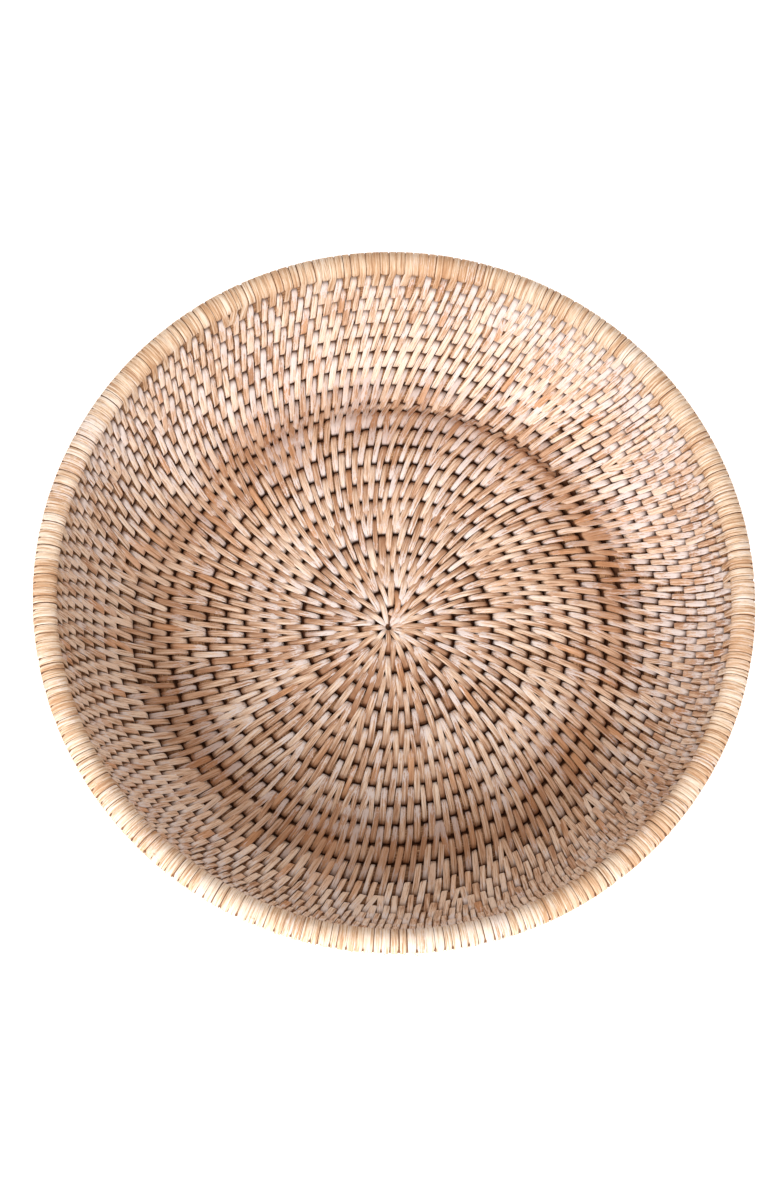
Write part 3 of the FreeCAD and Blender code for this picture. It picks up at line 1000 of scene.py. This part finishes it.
def splint_material(name, stops, wash_amount, edge_shade_amount):
    """Whitewashed rattan splint: a tone of its own for each stitch, fibre lines along it, wash that has
    caught at the ends, tan patches, painted shade along the edges, brown of stain and painted shade, and
    painted dark shade where it dives between the canes. Noise is stretched along the splint, in millimetres
    of the grain attribute."""
    n = Nodes(name)
    paint = n.separate(n.attribute("paint").outputs["Vector"])
    grain = n.separate(n.attribute("grain").outputs["Vector"])
    shade = n.separate(n.attribute("shade").outputs["Vector"])
    dive, edge, brown = shade[0], shade[1], shade[2]
    tone, blush, wash = paint[0], paint[1], paint[2]
    along, across, seed = grain[0], grain[1], grain[2]

    fibre_at = n.combine(n.times(along, 0.06), n.times(across, 1.1), seed)
    fibre = n.band(n.noise(fibre_at, 1.0, detail=5.0, roughness=0.7), 0.32, 0.68)
    hair_at = n.combine(n.times(along, 0.15), n.times(across, 5.0), seed)
    hair = n.noise(hair_at, 1.0, detail=3.0, roughness=0.6)
    blotch_at = n.combine(n.times(along, 0.35), n.times(across, 1.3), seed)
    blotch = n.noise(blotch_at, 1.0, detail=4.0, roughness=0.7)

    colour = n.ramp(n.plus(tone, n.times(n.minus(fibre, 0.5), -1.1)), stops)
    colour = n.mix(n.times(blush, 0.6), colour, TAN)
    fibre_dark = n.times(n.band(fibre, 0.66, 1.0), 0.5)
    colour = n.mix(fibre_dark, colour, FIBRE_BROWN)
    colour = n.mix(n.times(n.band(hair, 0.52, 0.72), 0.5), colour, HAIR_BROWN)
    wash_level = n.plus(n.times(wash, 0.16), n.times(blotch, 0.7))
    wash_level = n.minus(wash_level, n.times(fibre, 0.16))
    wash_level = n.minus(wash_level, n.times(n.minus(hair, 0.5), 0.3))
    washed = n.times(n.band(wash_level, 0.36, 0.52), wash_amount)
    colour = n.mix(washed, colour, WHITEWASH)
    # Painted shade along the splint's edges.
    colour = n.mix(n.times(n.band(edge, 0.86, 1.0), edge_shade_amount), colour, EDGE_SHADE_BROWN)
    # The brown of the stain, and painted brown shade round the dive and on the sunk part.
    colour = n.mix(n.times(brown, 0.72), colour, SHADE_AND_STAIN_BROWN)
    # Painted dark shade where the splint dives between the canes.
    colour = n.mix(n.times(dive, 0.96), colour, DIVE_SHADE_BROWN)
    n.link(colour, n.shader.inputs["Base Color"])

    n.link(n.plus(0.58, n.times(blotch, 0.22)), n.shader.inputs["Roughness"])
    n.fixed("Specular IOR Level", 0.12)
    n.bump(n.plus(n.times(fibre, -0.7), n.times(hair, -0.5)), 0.7, 0.0004)
    return n.material


def cane_material(name):
    """Fibrous brown cane core, from the cane's own along and around coordinates in the grain attribute."""
    n = Nodes(name)
    grain = n.separate(n.attribute("grain").outputs["Vector"])
    at = n.combine(n.times(grain[0], 0.05), n.times(grain[1], 2.2), grain[2])
    fibre = n.noise(at, 1.0, detail=4.0, roughness=0.6)
    patch = n.noise(n.combine(n.times(grain[0], 0.05), 0.0, grain[2]), 1.0)
    shade = n.separate(n.attribute("shade").outputs["Vector"])
    return finish_cane(n, fibre, patch, shade[0], n.band(shade[1], 0.8, 1.0))


def finish_cane(n, fibre, patch, seam, hollow):
    """The rest of a cane's material: seam is painted shade between the canes, and hollow is painted
    near-black shade in the base's eye.
    """
    colour = n.ramp(fibre, CANE_STOPS)
    colour = n.mix(n.times(n.band(patch, 0.52, 0.72), 0.3), colour, PALE_CANE)
    # Painted shade in the seams between the canes.
    colour = n.mix(n.times(seam, 0.94), colour, SEAM_SHADE_BROWN)
    # Painted near-black shade in the eye's hollow.
    colour = n.mix(hollow, colour, HOLLOW_SHADE)
    n.link(colour, n.shader.inputs["Base Color"])
    n.fixed("Roughness", 0.75)
    n.fixed("Specular IOR Level", 0.2)
    n.bump(fibre, 0.8, 0.0005)
    return n.material


def hoop_material(name, seed):
    """The same fibrous cane on the CAD rim hoop: its fibres run round the basket, so the pattern is fine
    across the cane, from the distance to the hoop's axis and the height, and slow round the hoop."""
    n = Nodes(name)
    place = n.separate(n.node("ShaderNodeTexCoord").outputs["Object"])
    flat = n.math("SQRT", n.plus(n.times(place[0], place[0]), n.times(place[1], place[1])))
    fine = 2400.0
    slow = 9.0
    patches = 60.0
    # Painted seam shade, even all round the hoop.
    seam = 0.6
    angle = n.math("ARCTAN2", place[0], place[1])
    at = n.combine(n.times(n.math("COSINE", angle), slow),
                   n.times(n.math("SINE", angle), slow),
                   n.plus(n.times(flat, fine), seed))
    fibre = n.noise(at, 1.0, detail=4.0, roughness=0.6, w=n.times(place[2], fine))
    patch = n.noise(n.combine(*[n.times(axis, patches) for axis in place]), 1.0)
    return finish_cane(n, fibre, patch, seam, 0.0)


# ---------------------------------------------------------------- building the basket

def dress(piece, slot, *nodes):
    """Puts a piece on the one body and hides the CAD nodes that it stands for. slot is not used."""
    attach(piece, "root")
    if nodes:
        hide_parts(*nodes)


splint = splint_material("splint_rattan", BODY_STOPS, 0.85, 0.55)
rim_splint = splint_material("rim_rattan", RIM_STOPS, 0.55, 0.75)

cane = cane_material("cane_fibre")
dress(base_cane("base_cane", cane), "cane", "base_core")


def base_circles(turn):
    """Inner and outer cane of a base stitch: the coil one turn further in, and its own turn of the coil."""
    inner = np.maximum(turn - 1, COIL_START)
    return coil_circle(inner), coil_circle(turn)


FIRST_BASE_LAP = 3
LAST_BASE_LAP = 13
base_stitches = base_layout()
centre_row = [s for s in base_stitches if s[1] < LAST_CENTRE_TURN]
fan = StitchRow("base", centre_row, base_circles, eye=True)
dress(fan.build("centre_fan", splint), "splint", "centre_splints")
for lap in range(FIRST_BASE_LAP, LAST_BASE_LAP + 1):
    stitches = [s for s in base_stitches if lap <= s[1] < lap + 1]
    row = StitchRow("base", stitches, base_circles)
    dress(row.build(f"base_splint_{lap:02d}", splint), "splint", f"base_stitches_{lap:02d}")


def first_wall_circles(turn):
    """Inner cane: the outermost base coil, seen from the rim's centre. Outer cane: the first hoop."""
    coil = last_coil_turn(turn)
    radius, height, cane = coil_circle(coil)
    return (radius + direction(turn) @ SPIRAL_CENTRE, height, cane), hoop_circle(HOOPS[0], turn)


def wall_circles(k):
    """The canes of wall row k, counted from 0. The row after the last hoop is the rim's."""
    if k == 0:
        return first_wall_circles
    canes = HOOPS + [RIM]
    return lambda turn: (hoop_circle(canes[k - 1], turn), hoop_circle(canes[k], turn))


places = sorted(about_rim_centre(b) for a, b in base_stitches if b > COIL_END - 1)
for k, hoop in enumerate(HOOPS):
    stitches = ring_layout(places, hoop)
    row = StitchRow("wall", stitches, wall_circles(k))
    dress(row.build(f"wall_splint_{k + 1}", splint), "splint", f"wall_stitches_{k + 1}")
    places = [b for a, b in stitches]
row = StitchRow("rim", ring_layout(places, RIM), wall_circles(HOOP_COUNT))
dress(row.build("rim_splint", rim_splint), "rim_splint", "rim_wrap", "rim_stitches")

dress(loose_fibres("loose_fibres", fibre_places(), rim_splint), "rim_splint")

# Each wall cane reaches towards its neighbours. The first and last are the base coil's last turn and the rim.
rings = [(BASE_EDGE_RADIUS - SEAM_GAP - BASE_CANE, BASE_HEIGHT)]
rings += [(hoop.radius, hoop.height) for hoop in HOOPS + [RIM]]
for k, hoop in enumerate(HOOPS, start=1):
    piece = hoop_cane(f"wall_cane_{k}", hoop, [rings[k - 1], rings[k + 1]], cane)
    dress(piece, "cane", f"wall_hoop_{k}")

rim_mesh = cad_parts["rim_hoop"].data
rim_mesh.materials.clear()
rim_mesh.materials.append(hoop_material("rim_hoop_fibre", 7.0))


# ---------------------------------------------------------------- floor, light and camera

# In metres. The floor is just below the CAD's lowest point, so that no splint pokes through it.
FLOOR_SIZE = 30.0
FLOOR_HEIGHT = -0.0004


def make_floor():
    mesh = bpy.data.meshes.new("floor")
    half = FLOOR_SIZE / 2
    corners = [(-half, -half), (half, -half), (half, half), (-half, half)]
    mesh.from_pydata([(x, y, FLOOR_HEIGHT) for x, y in corners], [], [(0, 1, 2, 3)])
    floor = bpy.data.objects.new("floor", mesh)
    bpy.context.scene.collection.objects.link(floor)
    n = Nodes("floor_white")
    n.fixed("Base Color", (0.92, 0.92, 0.92, 1))
    n.fixed("Roughness", 0.9)
    n.fixed("Emission Color", (1, 1, 1, 1))
    n.fixed("Emission Strength", 0.6)
    mesh.materials.append(n.material)


def area_light(name, position, aim, size, power, colour=(1, 1, 1)):
    light = bpy.data.lights.new(name, "AREA")
    light.shape = "DISK"
    light.size = size
    light.energy = power
    light.color = colour
    lamp = bpy.data.objects.new(name, light)
    lamp.location = position
    lamp.rotation_mode = "QUATERNION"
    lamp.rotation_quaternion = (Vector(aim) - Vector(position)).to_track_quat("-Z", "Y")
    lamp.visible_camera = False
    bpy.context.scene.collection.objects.link(lamp)


def make_world(strength, colour):
    world = bpy.data.worlds.new("studio")
    world.use_nodes = True
    background = world.node_tree.nodes["Background"]
    background.inputs["Color"].default_value = colour
    background.inputs["Strength"].default_value = strength
    bpy.context.scene.world = world


# In metres and degrees. The camera looks almost straight down, with a roll, as in the photo.
CAMERA_PLACE = Vector((0.0, -0.2463, 1.037))
CAMERA_AIM = Vector((-0.0025, 0.0154, 0.0087))
CAMERA_ROLL = 9.64
CAMERA_LENS = 59.06


def make_camera():
    data = bpy.data.cameras.new("camera")
    data.lens = CAMERA_LENS
    data.sensor_width = 36
    camera = bpy.data.objects.new("camera", data)
    bpy.context.scene.collection.objects.link(camera)
    turn = (CAMERA_AIM - CAMERA_PLACE).to_track_quat("-Z", "Y").to_matrix().to_4x4()
    roll = Matrix.Rotation(math.radians(CAMERA_ROLL), 4, "Z")
    camera.matrix_world = Matrix.Translation(CAMERA_PLACE) @ turn @ roll
    bpy.context.scene.camera = camera


make_floor()
make_world(0.9, (1.0, 0.95, 0.91, 1))
area_light("key", (-0.2, -1.4, 1.0), (0, 0, 0.03), 0.9, 32.0, (1.0, 0.99, 0.985))
make_camera()
bpy.context.scene.view_settings.view_transform = "Standard"
